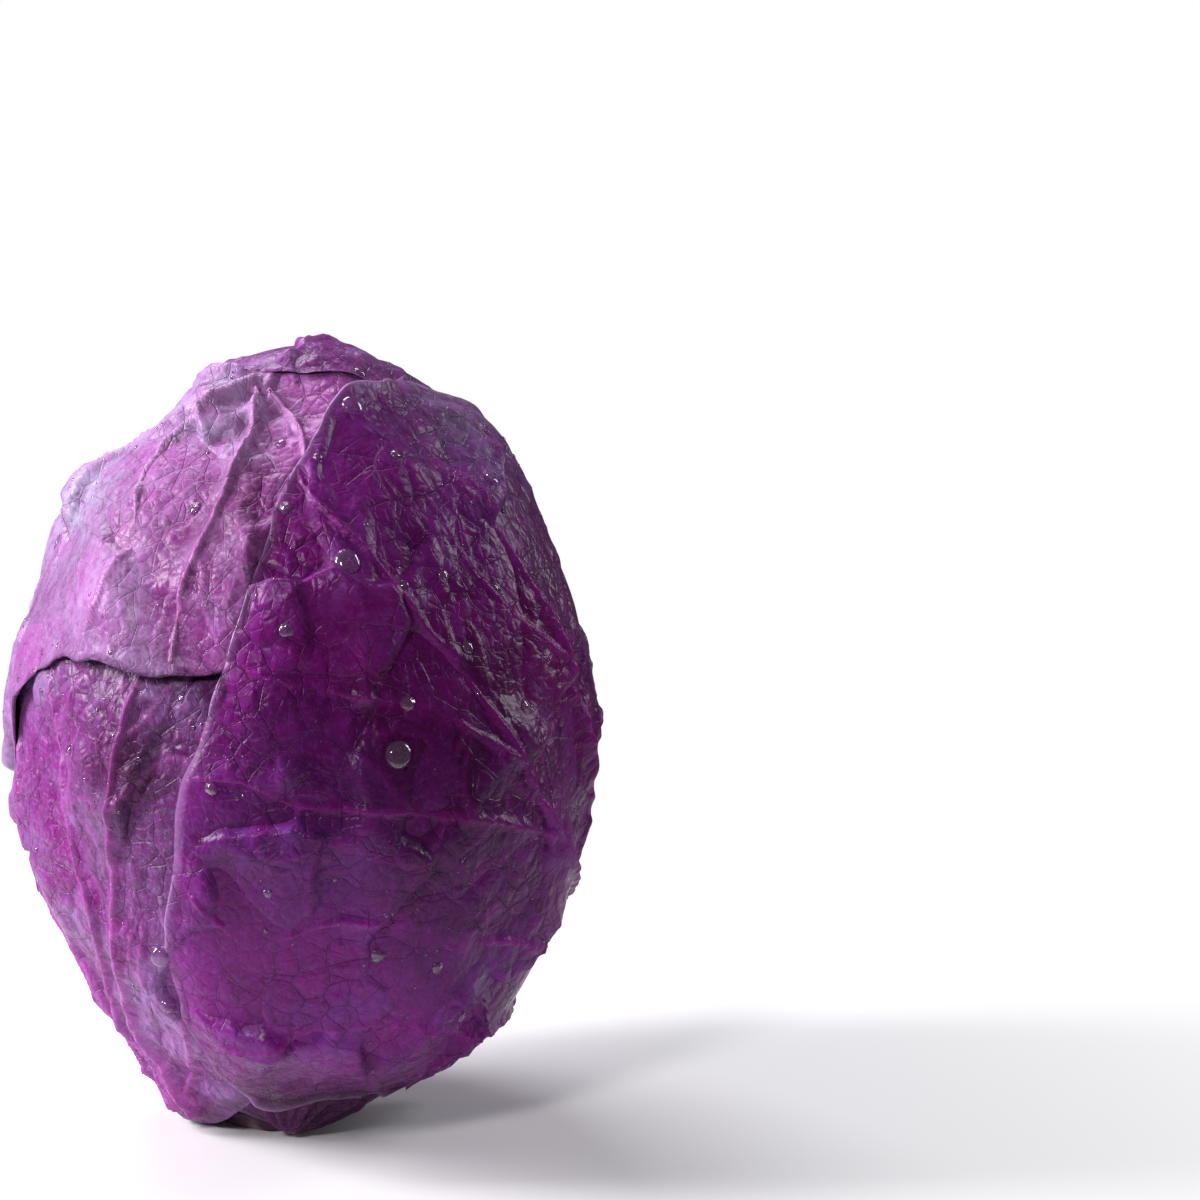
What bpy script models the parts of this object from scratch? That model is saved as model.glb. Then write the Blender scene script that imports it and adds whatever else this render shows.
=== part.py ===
"""A red cabbage head: wrapper leaves laid one over another round a packed inner head, on a short cut stem.

Metres, +Z up. Azimuth 0 faces -Y and grows towards +X; elevation 90 is the crown, -90 the stem.
"""

from math import asin, degrees, radians

import bmesh
import bpy
import numpy as np
from mathutils import Vector

# Driving sizes
HEAD_WIDTH = 0.145  # along X, over three leaves, before the facets are pressed in
HEAD_DEPTH = 0.139  # along Y, likewise
HEAD_HEIGHT = 0.193  # from the cut stem to the crown, likewise
LEAF_THICKNESS = 0.0008
LEAF_GAP = 0.0018  # air between one leaf and the next
STEM_RADIUS = 0.0150  # at the cut face
STEM_FLARE = 0.0012  # how much wider the stem is where the leaves leave it
STEM_LENGTH = 0.0045
STEM_BEVEL = 0.0008
STEM_CLEARANCE = 0.0025  # from the stem to the leaves' root ends
CORE_GAP = 0.0005  # from the stem's top to the inner head
STEM_OFFSET = -0.009  # along X, how far the head leans over to its stem
LEAN_HEIGHT = 0.026  # above this height the head stands straight

# How the leaves lie
COUNTED_LAYERS = 3  # leaves between the inner head and the overall size
LIP = 2.5  # degrees past a leaf's margin before the leaf over it starts to sink
RAMP = 17.0  # degrees over which it sinks by one leaf
RIDGE_SHARPNESS = 100.0  # how crisp the ridges between the flattened facets are

# Mesh density
CHORD_SHARE = 0.067  # of the gap between leaves that the flatness of a leaf's quads may take
STEM_STEPS = 40
INNER_SUBDIVISIONS = 4

TO_STEM = None  # a reach that ends STEM_CLEARANCE short of the stem

# Flattened facets of the head: azimuth, elevation, how deep each is pressed in (m)
FACETS = (
    (-34, 41, 0.0022), (-86, 29, 0.0022), (-98, 7, 0.0014), (-65, 0, 0.0012), (-88, -34, 0.0008),
    (-51, -35, 0.0016), (-23, 63, 0.0024), (-100, 60, 0.0022), (9, 16, 0.0014), (34, 37, 0.0018),
    (55, 8, 0.0014), (17, -15, 0.0012), (49, -30, 0.0017), (1, -55, 0.0022), (59, 61, 0.0026),
    (98, 30, 0.0012), (102, -14, 0.0008), (72, -56, 0.0010), (-37, -66, 0.0024), (140, 10, 0.0015),
    (170, -20, 0.0016), (-150, 8, 0.0014), (-168, 46, 0.0024), (-130, -28, 0.0019), (132, -48, 0.0024),
    (-112, -58, 0.0026), (166, 68, 0.0024), (138, 40, 0.0020), (-158, -54, 0.0022), (-78, -56, 0.0028),
)

# Leaves from the innermost to the outermost: name, azimuth and elevation of the middle, and how many
# degrees the leaf reaches from there, each 30 degrees clockwise from the crown's side
LEAVES = (
    ("leaf_left_back", -120, -10, (46, 44, 42, 42, 44, 52, TO_STEM, 54, 50, 50, 48, 48)),
    ("leaf_underside_front", 10, -38, (42, 44, 46, 46, 46, 46, TO_STEM, 44, 46, 44, 44, 42)),
    ("leaf_low_back", 170, -28, (50, 48, 46, 44, 44, 46, TO_STEM, 46, 44, 44, 46, 48)),
    ("leaf_lower_left", -62, -12, (50, 52, 52, 50, 52, 58, TO_STEM, 60, 54, 54, 54, 52)),
    ("leaf_over_top", -130, 38, (80, 98, 98, 64, 56, 84, TO_STEM, 84, 60, 60, 66, 72)),
    ("leaf_right_back", 150, 10, (92, 83, 66, 62, 60, 66, TO_STEM, 66, 60, 62, 64, 72)),
    ("leaf_front_right", 42, -2, (72, 70, 66, 62, 64, 76, 58, 75, 75, 67, 60, 65)),
)

LEAF_PITCH = LEAF_THICKNESS + LEAF_GAP
SHELL = COUNTED_LAYERS * LEAF_PITCH
SEMI_HEIGHT = (HEAD_HEIGHT - STEM_LENGTH - CORE_GAP - SHELL) / 2
SEMI_AXES = np.array([HEAD_WIDTH / 2 - SHELL, HEAD_DEPTH / 2 - SHELL, SEMI_HEIGHT])
CENTRE = np.array([0.0, 0.0, STEM_LENGTH + CORE_GAP + SEMI_HEIGHT])
LEAF_CELL = np.sqrt(8 * SEMI_AXES[:2].mean() * CHORD_SHARE * LEAF_GAP)  # a quad's length
STEM_TOP_RADIUS = STEM_RADIUS + STEM_FLARE
STEM_OPENING = degrees(asin((STEM_TOP_RADIUS + STEM_CLEARANCE) / min(SEMI_AXES[:2])))


def direction(azimuth, elevation):
    azimuth = radians(azimuth)
    elevation = radians(elevation)
    flat = np.cos(elevation)
    return np.array([np.sin(azimuth) * flat, -np.cos(azimuth) * flat, np.sin(elevation)])


def frame_at(azimuth, elevation):
    """Middle, crownwards and rightwards unit directions of a leaf."""
    middle = direction(azimuth, elevation)
    up = direction(azimuth, elevation + 90)
    return middle, up, np.cross(middle, up) * -1


def facet_scale(rays):
    """How far each ray reaches, 1 on the plain ellipsoid and less on a facet."""
    closeness = np.ones(len(rays))
    for azimuth, elevation, depth in FACETS:
        facing = np.maximum(rays @ direction(azimuth, elevation), 0.3)
        height = 1 - depth / SEMI_AXES[0]
        closeness += np.exp(RIDGE_SHARPNESS * (1 - height / facing))
    return 1 - np.log(closeness) / RIDGE_SHARPNESS


def lean(height):
    """How far along X the head leans at a height."""
    t = np.clip(1 - height / LEAN_HEIGHT, 0, 1)
    return STEM_OFFSET * t * t * (3 - 2 * t)


def on_head(rays, outwards):
    """Points on the inner head's surface, moved outwards by a distance."""
    reach = SEMI_AXES + np.reshape(outwards, (-1, 1))
    points = CENTRE + rays * reach * facet_scale(rays)[:, None]
    points[:, 0] += lean(points[:, 2])
    return points


class Leaf:
    def __init__(self, name, azimuth, elevation, reaches):
        self.name = name
        self.middle, self.up, self.right = frame_at(azimuth, elevation)
        to_stem = 90 + elevation - STEM_OPENING
        self.reaches = np.array([to_stem if reach is None else reach for reach in reaches], float)

    def reach(self, bearing):
        """Degrees from the leaf's middle to its margin, on a smooth closed curve through its reaches."""
        count = len(self.reaches)
        place = np.mod(bearing / (2 * np.pi), 1) * count
        index = np.floor(place).astype(int)
        t = place - index
        before, start, end, after = (self.reaches[(index + step) % count] for step in (-1, 0, 1, 2))
        bend = 2 * before - 5 * start + 4 * end - after
        twist = 3 * (start - end) + after - before
        return start + 0.5 * t * (end - before + t * (bend + t * twist))

    def rays(self, spread, bearing):
        """Unit directions at a share of the way from the middle to the margin."""
        angle = np.radians(spread * self.reach(bearing))[:, None]
        sideways = np.cos(bearing)[:, None] * self.up + np.sin(bearing)[:, None] * self.right
        return np.cos(angle) * self.middle + np.sin(angle) * sideways

    def cover(self, rays):
        """1 where this leaf lies under the rays, falling to 0 away from its margin."""
        angle = np.arccos(np.clip(rays @ self.middle, -1, 1))
        bearing = np.arctan2(rays @ self.right, rays @ self.up)
        step = radians(2)
        slope = (self.reach(bearing + step) - self.reach(bearing - step)) / degrees(2 * step)
        past = np.degrees(angle) - self.reach(bearing)
        past /= np.sqrt(1 + (slope / np.maximum(np.sin(angle), 0.2)) ** 2)
        t = np.clip((past - LIP) / RAMP, 0, 1)
        return 1 - t * t * (3 - 2 * t)


def disc_from_square(x, y):
    """Share of the way out and bearing of the disc point that a square's point goes to."""
    across = x * np.sqrt(1 - y * y / 2)
    along = y * np.sqrt(1 - x * x / 2)
    return np.hypot(across, along), np.arctan2(across, along)


def material(name, colour, roughness):
    made = bpy.data.materials.new(name)
    made.use_nodes = True
    shader = made.node_tree.nodes["Principled BSDF"]
    shader.inputs["Base Color"].default_value = (*colour, 1)
    shader.inputs["Roughness"].default_value = roughness
    shader.inputs["Metallic"].default_value = 0
    made.diffuse_color = (*colour, 1)
    return made


def add_mesh(name, bm, collection, finish):
    mesh = bpy.data.meshes.new(name)
    bm.to_mesh(mesh)
    bm.free()
    made = bpy.data.objects.new(name, mesh)
    made.data.materials.append(finish)
    collection.objects.link(made)
    return made


def move_vertices(bm, points):
    for vertex, point in zip(bm.verts, points):
        vertex.co = Vector(point)


def positions(bm):
    return np.array([vertex.co[:] for vertex in bm.verts])


def add_leaf(leaf, leaves_below, collection, finish):
    bm = bmesh.new()
    cells = round(2 * radians(leaf.reaches.mean()) * SEMI_AXES.mean() / LEAF_CELL)
    bmesh.ops.create_grid(bm, x_segments=cells, y_segments=cells, size=1)
    flat = positions(bm)
    spread, bearing = disc_from_square(flat[:, 0], flat[:, 1])
    rays = leaf.rays(spread, bearing)
    layers = sum((lower.cover(rays) for lower in leaves_below), np.zeros(len(rays)))
    move_vertices(bm, on_head(rays, LEAF_GAP + LEAF_THICKNESS + layers * LEAF_PITCH))
    made = add_mesh(leaf.name, bm, collection, finish)
    solid = made.modifiers.new("thickness", "SOLIDIFY")
    solid.thickness = LEAF_THICKNESS
    solid.offset = -1
    return made


def add_inner_head(collection, finish):
    bm = bmesh.new()
    bmesh.ops.create_icosphere(bm, subdivisions=INNER_SUBDIVISIONS, radius=1)
    rays = positions(bm)
    rays /= np.linalg.norm(rays, axis=1)[:, None]
    move_vertices(bm, on_head(rays, 0.0))
    return add_mesh("inner_head", bm, collection, finish)


def add_stem(collection, finish):
    outline = (
        (0, STEM_LENGTH),
        (STEM_TOP_RADIUS, STEM_LENGTH),
        (STEM_RADIUS, STEM_LENGTH / 2),
        (STEM_RADIUS, STEM_BEVEL),
        (STEM_RADIUS - STEM_BEVEL, 0),
        (0, 0),
    )
    bm = bmesh.new()
    ring = [bm.verts.new((radius, 0, height)) for radius, height in outline]
    for start, end in zip(ring, ring[1:]):
        bm.edges.new((start, end))
    made = add_mesh("stem_butt", bm, collection, finish)
    turn = made.modifiers.new("turn", "SCREW")
    turn.steps = STEM_STEPS
    turn.render_steps = STEM_STEPS
    turn.use_merge_vertices = True
    turn.merge_threshold = 0.00001
    made.location.x = lean(STEM_LENGTH)
    return made


def centre_on_origin(objects):
    """Moves every piece so that the whole stands on the ground, over the origin."""
    graph = bpy.context.evaluated_depsgraph_get()
    corners = []
    for piece in objects:
        mesh = piece.evaluated_get(graph).to_mesh()
        points = np.array([vertex.co[:] for vertex in mesh.vertices]) + np.array(piece.location)
        corners += [points.min(axis=0), points.max(axis=0)]
        piece.evaluated_get(graph).to_mesh_clear()
    low = np.min(corners, axis=0)
    high = np.max(corners, axis=0)
    for piece in objects:
        piece.location += Vector((-(low[0] + high[0]) / 2, -(low[1] + high[1]) / 2, -low[2]))


def main():
    for old in list(bpy.data.objects):
        bpy.data.objects.remove(old, do_unlink=True)
    collection = bpy.data.collections.new("cabbage_head")
    bpy.context.scene.collection.children.link(collection)

    leaf_finish = material("leaf", (0.17, 0.030, 0.165), 0.42)
    inner_finish = material("inner_leaves", (0.20, 0.035, 0.17), 0.45)
    stem_finish = material("stem", (0.62, 0.52, 0.46), 0.6)

    pieces = [add_stem(collection, stem_finish), add_inner_head(collection, inner_finish)]
    laid = []
    for sizes in LEAVES:
        leaf = Leaf(*sizes)
        pieces.append(add_leaf(leaf, laid, collection, leaf_finish))
        laid.append(leaf)
    bpy.context.view_layer.update()
    centre_on_origin(pieces)


main()
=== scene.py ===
from math import asin, atan2, cos, degrees, hypot, pi, radians, sin, tau

import bmesh
import bpy
import numpy as np
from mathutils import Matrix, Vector
from mathutils.bvhtree import BVHTree
from mathutils.kdtree import KDTree


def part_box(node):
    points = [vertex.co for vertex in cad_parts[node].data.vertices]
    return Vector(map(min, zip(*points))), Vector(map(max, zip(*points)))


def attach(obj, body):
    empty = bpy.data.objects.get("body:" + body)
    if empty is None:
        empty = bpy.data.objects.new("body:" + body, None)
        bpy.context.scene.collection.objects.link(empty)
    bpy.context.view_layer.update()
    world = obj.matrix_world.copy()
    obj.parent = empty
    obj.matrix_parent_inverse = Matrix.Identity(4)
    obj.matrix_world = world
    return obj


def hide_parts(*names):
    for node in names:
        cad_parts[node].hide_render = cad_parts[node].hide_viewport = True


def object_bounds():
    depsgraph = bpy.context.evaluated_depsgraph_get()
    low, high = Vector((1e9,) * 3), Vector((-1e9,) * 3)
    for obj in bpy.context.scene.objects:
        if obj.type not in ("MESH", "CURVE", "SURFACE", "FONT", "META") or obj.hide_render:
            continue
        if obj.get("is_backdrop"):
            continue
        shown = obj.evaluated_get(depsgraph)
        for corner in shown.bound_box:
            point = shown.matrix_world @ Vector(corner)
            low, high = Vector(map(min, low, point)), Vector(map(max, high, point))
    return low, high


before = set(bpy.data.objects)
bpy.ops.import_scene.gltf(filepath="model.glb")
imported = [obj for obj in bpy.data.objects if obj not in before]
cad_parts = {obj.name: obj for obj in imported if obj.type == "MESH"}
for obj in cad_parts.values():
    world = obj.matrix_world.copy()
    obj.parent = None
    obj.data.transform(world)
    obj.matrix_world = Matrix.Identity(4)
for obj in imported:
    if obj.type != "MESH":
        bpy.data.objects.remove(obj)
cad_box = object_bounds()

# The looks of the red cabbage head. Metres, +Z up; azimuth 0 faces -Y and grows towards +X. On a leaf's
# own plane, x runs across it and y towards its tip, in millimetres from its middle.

MM = 0.001

# The head's driving sizes, as in the CAD model
HEAD_WIDTH = 0.145
HEAD_DEPTH = 0.139
HEAD_HEIGHT = 0.193
LEAF_PITCH = 0.0026
LEAF_GAP = 0.0018
COUNTED_LAYERS = 3
STEM_RADIUS = 0.0150
STEM_FLARE = 0.0012
STEM_LENGTH = 0.0045
STEM_CLEARANCE = 0.0004
CORE_GAP = 0.0005
STEM_OFFSET = -0.009
LEAN_HEIGHT = 0.026
LIP = 2.5
RAMP = 17.0
RIDGE_SHARPNESS = 320.0

SHELL = COUNTED_LAYERS * LEAF_PITCH
SEMI_HEIGHT = (HEAD_HEIGHT - STEM_LENGTH - CORE_GAP - SHELL) / 2
SEMI_AXES = np.array([HEAD_WIDTH / 2 - SHELL, HEAD_DEPTH / 2 - SHELL, SEMI_HEIGHT])
STEM_BOX = np.array(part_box("stem_butt"))
STEM_MIDDLE = (STEM_BOX[0] + STEM_BOX[1]) / 2


def lean(height):
    """How far along X the head leans over to its stem at a height."""
    t = np.clip(1 - height / LEAN_HEIGHT, 0, 1)
    return STEM_OFFSET * t * t * (3 - 2 * t)


AXIS_X = STEM_MIDDLE[0] - lean(STEM_LENGTH)
CENTRE = np.array([AXIS_X, STEM_MIDDLE[1], STEM_BOX[1][2] + CORE_GAP + SEMI_HEIGHT])
STEM_OPENING = degrees(asin((STEM_RADIUS + STEM_FLARE + STEM_CLEARANCE) / min(SEMI_AXES[:2])))
MM_PER_DEGREE = 1.34  # along the outside of the head

# The head's flat panels: azimuth, elevation, depth cut off in mm
FACETS = (
    (-34, 41, 2.2), (-86, 29, 2.2), (-98, 7, 1.4), (-65, 0, 1.2), (-88, -34, 0.8), (-51, -35, 1.6),
    (-23, 63, 2.4), (-100, 60, 2.2), (9, 16, 1.4), (34, 37, 1.8), (55, 8, 1.4), (17, -15, 1.2),
    (49, -30, 1.7), (1, -55, 2.2), (59, 61, 2.6), (98, 30, 1.2), (102, -14, 0.8), (72, -56, 1.0),
    (-37, -66, 2.4), (140, 10, 1.5), (170, -20, 1.6), (-150, 8, 1.4), (-168, 46, 2.4), (-130, -28, 1.9),
    (132, -48, 2.4), (-112, -58, 2.6), (166, 68, 2.4), (138, 40, 2.0), (-158, -54, 2.2), (-78, -56, 2.8),
)

# Fine mesh
CELL_MM = 0.62  # about how long a quad is
MOST_CELLS = 300
INNER_EVERY = 5  # outer quads to one quad of a leaf's hidden side

TO_STEM = None


def direction(azimuth, elevation):
    azimuth = np.radians(azimuth)
    elevation = np.radians(elevation)
    flat = np.cos(elevation)
    return np.stack([np.sin(azimuth) * flat, -np.cos(azimuth) * flat, np.sin(elevation)], -1)


def smooth(x, low=0.0, high=1.0):
    t = np.clip((x - low) / (high - low), 0, 1)
    return t * t * (3 - 2 * t)


def lattice(cells, seed):
    """A repeatable random value, 0 to 1, for each whole-numbered point."""
    mask = np.uint64(0xFFFFFFFF)
    mixed = np.full(cells.shape[:-1], seed * 7919 + 17, np.uint64)
    for axis, prime in enumerate((374761393, 668265263, 2246822519)[: cells.shape[-1]]):
        step = (cells[..., axis] + 4096).astype(np.uint64) * np.uint64(prime)
        mixed = ((mixed + step) & mask) * np.uint64(1274126177) & mask
        mixed ^= mixed >> np.uint64(15)
    return mixed.astype(float) / 0xFFFFFFFF


def noise(points, size, seed):
    """Smooth noise from -1 to 1 whose lumps are about this size."""
    place = points / size
    cells = np.floor(place).astype(int)
    inside = place - cells
    fade = inside**3 * (inside * (inside * 6 - 15) + 10)
    total = 0.0
    for corner in np.ndindex(*(2,) * points.shape[-1]):
        weight = np.prod(np.where(corner, fade, 1 - fade), axis=-1)
        total = total + weight * lattice(cells + np.array(corner), seed)
    return 2 * total - 1


def pucker(plane, size, seed, crispness=9):
    """Small tilted facets, as the skin between the veins has: heights from about -1 to 1."""
    place = plane / size
    cells = np.floor(place).astype(int)
    total = np.zeros(len(plane))
    weights = np.full(len(plane), 1e-9)
    for offset in np.ndindex(3, 3):
        cell = cells + np.array(offset) - 1
        jitter = np.stack([lattice(cell, seed), lattice(cell, seed + 1)], -1)
        away = place - cell - jitter
        tilt = np.stack([lattice(cell, seed + 2), lattice(cell, seed + 3)], -1) * 2 - 1
        weight = np.exp(-crispness * (away**2).sum(-1))
        total += weight * ((away * tilt).sum(-1) * 1.6 + lattice(cell, seed + 4) - 0.5)
        weights += weight
    return total / weights


def facet_scale(rays):
    closeness = np.ones(len(rays))
    for azimuth, elevation, depth in FACETS:
        facing = np.maximum(rays @ direction(azimuth, elevation), 0.3)
        height = 1 - depth * MM / SEMI_AXES[0]
        closeness += np.exp(RIDGE_SHARPNESS * (1 - height / facing))
    return 1 - np.log(closeness) / RIDGE_SHARPNESS


def on_head(rays, outwards_mm):
    """Points on the inner head's surface, moved outwards."""
    lumps = 0.9 * noise(rays * 70, 33, 5) + 0.45 * noise(rays * 70, 14, 6)
    reach = SEMI_AXES + np.reshape(outwards_mm + lumps, (-1, 1)) * MM
    points = CENTRE + rays * reach * facet_scale(rays)[:, None]
    points[:, 0] += lean(points[:, 2])
    return points


class Network:
    """A leaf's veins as points on its plane, found quickly by place while they grow."""

    STEP = 1.0
    MEET = 1.3

    def __init__(self):
        self.cells = {}
        self.orders = [[], [], []]

    def near(self, x, y):
        column, row = int(x // self.MEET), int(y // self.MEET)
        for across in (-1, 0, 1):
            for along in (-1, 0, 1):
                for other in self.cells.get((column + across, row + along), ()):
                    if hypot(other[0] - x, other[1] - y) < self.MEET:
                        return True
        return False

    def add(self, order, path, widths, heights):
        for x, y in path:
            self.cells.setdefault((int(x // self.MEET), int(y // self.MEET)), []).append((x, y))
        self.orders[order].append(np.column_stack([path, widths, heights]))

    def dense(self, order, step=0.3):
        """Every vein of an order, with points close enough to measure distances from."""
        rows = []
        for vein in self.orders[order]:
            parts = max(2, round(self.STEP / step))
            place = np.arange((len(vein) - 1) * parts + 1) / parts
            rows.append(np.column_stack([np.interp(place, np.arange(len(vein)), c) for c in vein.T]))
        return np.concatenate(rows)


class Leaf:
    """One outer leaf, as a disc on the head: where its middle is and how far it reaches each way round.

    A curl is its height in mm and, where it isn't alike all round, the azimuth, elevation and radius of the
    place that curls.
    """

    def __init__(
        self, name, azimuth, elevation, reaches, seed, look,
        ribs=(), folds=(), curl=(0.12,), ragged=1.0, sink=1.25,
    ):
        self.name = name
        self.middle = direction(azimuth, elevation)
        self.up = direction(azimuth, elevation + 90)
        self.right = np.cross(self.up, self.middle)
        to_stem = 90 + elevation - STEM_OPENING
        self.reaches = np.array([to_stem if reach is None else reach for reach in reaches], float)
        self.seed = seed
        self.look = look
        self.ribs = ribs
        self.folds = folds
        self.curl = curl
        self.ragged = ragged
        self.sink = sink
        self.table = self.margin(np.radians(np.arange(720) / 2))

    def margin(self, bearing):
        """Degrees from the leaf's middle to its margin, with the small waves of a real one."""
        count = len(self.reaches)
        place = np.mod(bearing / tau, 1) * count
        index = np.floor(place).astype(int)
        t = place - index
        before, start, end, after = (self.reaches[(index + step) % count] for step in (-1, 0, 1, 2))
        bend = 2 * before - 5 * start + 4 * end - after
        twist = 3 * (start - end) + after - before
        plain = start + 0.5 * t * (end - before + t * (bend + t * twist))
        ring = np.stack([np.cos(bearing), np.sin(bearing)], -1) * plain[..., None]
        waves = noise(ring, 13, self.seed + 40) * 1.1 + noise(ring, 4.5, self.seed + 41) * 0.28
        return plain + waves * self.ragged

    def reach(self, bearing):
        place = np.mod(bearing / tau, 1) * len(self.table)
        index = np.floor(place).astype(int)
        start = self.table[index % len(self.table)]
        return start + (place - index) * (self.table[(index + 1) % len(self.table)] - start)

    def rays(self, spread, bearing):
        angle = np.radians(spread * self.reach(bearing))[:, None]
        sideways = np.cos(bearing)[:, None] * self.up + np.sin(bearing)[:, None] * self.right
        return np.cos(angle) * self.middle + np.sin(angle) * sideways

    def polar(self, rays):
        angle = np.degrees(np.arccos(np.clip(rays @ self.middle, -1, 1)))
        return angle, np.arctan2(rays @ self.right, rays @ self.up)

    def plane(self, rays):
        angle, bearing = self.polar(rays)
        return np.stack([np.sin(bearing), np.cos(bearing)], -1) * (angle * MM_PER_DEGREE)[:, None]

    def past(self, rays):
        """Degrees beyond this leaf's margin, less than 0 inside it."""
        angle, bearing = self.polar(rays)
        step = radians(2)
        slope = (self.reach(bearing + step) - self.reach(bearing - step)) / degrees(2 * step)
        across = np.maximum(np.sin(np.radians(angle)), 0.2)
        return (angle - self.reach(bearing)) / np.sqrt(1 + (slope / across) ** 2)

    def cover(self, rays):
        return 1 - smooth(self.past(rays), LIP, LIP + RAMP)

    def curl_share(self, rays):
        """Where the margin curls up: everywhere alike, or mostly near one place."""
        if len(self.curl) == 1:
            return np.ones(len(rays))
        azimuth, elevation, radius = self.curl[1:]
        away = np.degrees(np.arccos(np.clip(rays @ direction(azimuth, elevation), -1, 1)))
        return 0.08 + 0.92 * np.exp(-((away / radius) ** 2))

    def holds(self, x, y):
        reach = self.table[int(atan2(x, y) / tau % 1 * 720) % 720]
        return hypot(x, y) < (reach - 1.0) * MM_PER_DEGREE

    def rib_routes(self):
        """Each main rib as points on the plane, 1 mm apart, with its width and height at the root."""
        for width, height, *points in self.ribs:
            route = self.plane(direction(*np.array(points, float).T))
            yield width, height, resampled(route, Network.STEP)

    def fan_of_ribs(self):
        """A plain midrib with side ribs, for a leaf whose ribs aren't given."""
        foot = -self.reaches[6] * MM_PER_DEGREE
        tip = self.reaches[0] * MM_PER_DEGREE * 0.93
        rng = np.random.default_rng(self.seed)
        bend = rng.uniform(-5, 5)
        midrib = np.array([(0, foot), (bend, foot * 0.4), (bend, tip * 0.4), (0, tip)])
        yield 3.0, 1.5, resampled(midrib, Network.STEP)
        for turn in (-62, -40, -20, 20, 40, 62):
            slant = radians(turn + rng.uniform(-4, 4))
            length = hypot(foot, tip) * rng.uniform(0.95, 1.15)
            out = np.array([sin(slant), cos(slant)])
            start = np.array([0, foot * 0.98])
            middle = start + out * length * 0.45
            end = middle + np.array([sin(slant * 0.55), cos(slant * 0.55)]) * length * 0.5
            yield 1.7, 0.9, resampled(np.array([start, middle, end]), Network.STEP)

    def grow_veins(self):
        net = Network()
        rng = np.random.default_rng(self.seed + 100)
        routes = list(self.rib_routes()) if self.ribs else list(self.fan_of_ribs())
        for width, height, route in routes:
            route = np.array([point for point in route if self.holds(*point)])
            fade = 1 - np.arange(len(route)) / len(route)
            net.add(0, route, width * (0.22 + 0.55 * fade), height * (0.4 + 0.6 * fade))
        self.branch(net, rng, 0, 1, spacing=14.0, angle=46, limit=58, turn=0.35, size=(0.80, 0.24))
        self.branch(net, rng, 0, 2, spacing=10.0, angle=66, limit=22, turn=0.0, size=(0.50, 0.07))
        self.branch(net, rng, 1, 2, spacing=9.0, angle=68, limit=26, turn=0.2, size=(0.50, 0.07))
        return net

    def branch(self, net, rng, parents, order, spacing, angle, limit, turn, size):
        """Side veins from every vein of the parents' order, left and right in turn."""
        for parent in list(net.orders[parents]):
            side = 1 if rng.random() < 0.5 else -1
            place = rng.uniform(0.4, 1.0) * spacing
            while place < len(parent) - 2:
                index = int(place)
                ahead = parent[min(index + 2, len(parent) - 1)][:2] - parent[max(index - 2, 0)][:2]
                heading = atan2(ahead[1], ahead[0]) + side * radians(angle + rng.normal(0, 8))
                self.grow(net, rng, parent[index][:2], heading, limit, -side * radians(turn), order, size)
                side = -side
                place += spacing * rng.uniform(0.38, 0.78)

    def grow(self, net, rng, start, heading, limit, turn, order, size):
        x, y = start
        path = [(x, y)]
        sway = 0.0
        for count in range(limit):
            sway = 0.8 * sway + rng.normal(0, 0.045)
            heading += turn + sway
            x += cos(heading) * net.STEP
            y += sin(heading) * net.STEP
            if not self.holds(x, y):
                break
            path.append((x, y))
            if count > 3 and net.near(x, y):
                break
        if len(path) < 5:
            return
        fade = 1 - np.arange(len(path)) / len(path) * 0.45
        strength = rng.uniform(0.55, 1.2)
        net.add(order, np.array(path), size[0] * fade, size[1] * fade * strength)


def resampled(points, step):
    """A smooth curve through the points, with points this far apart along it."""
    ends = np.vstack([2 * points[0] - points[1], points, 2 * points[-1] - points[-2]])
    t = np.linspace(0, 1, 40, endpoint=False)[:, None]
    rows = []
    for before, start, end, after in zip(ends, ends[1:], ends[2:], ends[3:]):
        bend = 2 * before - 5 * start + 4 * end - after
        twist = 3 * (start - end) + after - before
        rows.append(start + 0.5 * t * (end - before + t * (bend + t * twist)))
    curve = np.concatenate([*rows, points[-1:]])
    along = np.concatenate([[0], np.cumsum(np.hypot(*np.diff(curve, axis=0).T))])
    place = np.arange(0, along[-1], step)
    return np.column_stack([np.interp(place, along, column) for column in curve.T])


def nearest(rows, plane):
    """Distance to the nearest vein point, and that point's width and height."""
    tree = KDTree(len(rows))
    for index, row in enumerate(rows):
        tree.insert((row[0], row[1], 0), index)
    tree.balance()
    found = [tree.find((x, y, 0))[1:] for x, y in plane]
    index = np.array([f[0] for f in found])
    return np.array([f[1] for f in found]), rows[index, 2], rows[index, 3]


RIB_RISE = 1.7
RELIEF_MIDDLE = 1.3  # mm, about the mean of all the relief
SKIRTS = (7.0, 4.2, 2.4)  # mm over which the skin falls away from a rib, a side vein and a small vein
SKIRT_SHARES = (0.40, 0.42, 0.40)
CREASES = ((26.0, 1.0, 60), (12.0, 0.12, 61))  # size of the folds, height of their crests, noise layer


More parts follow.
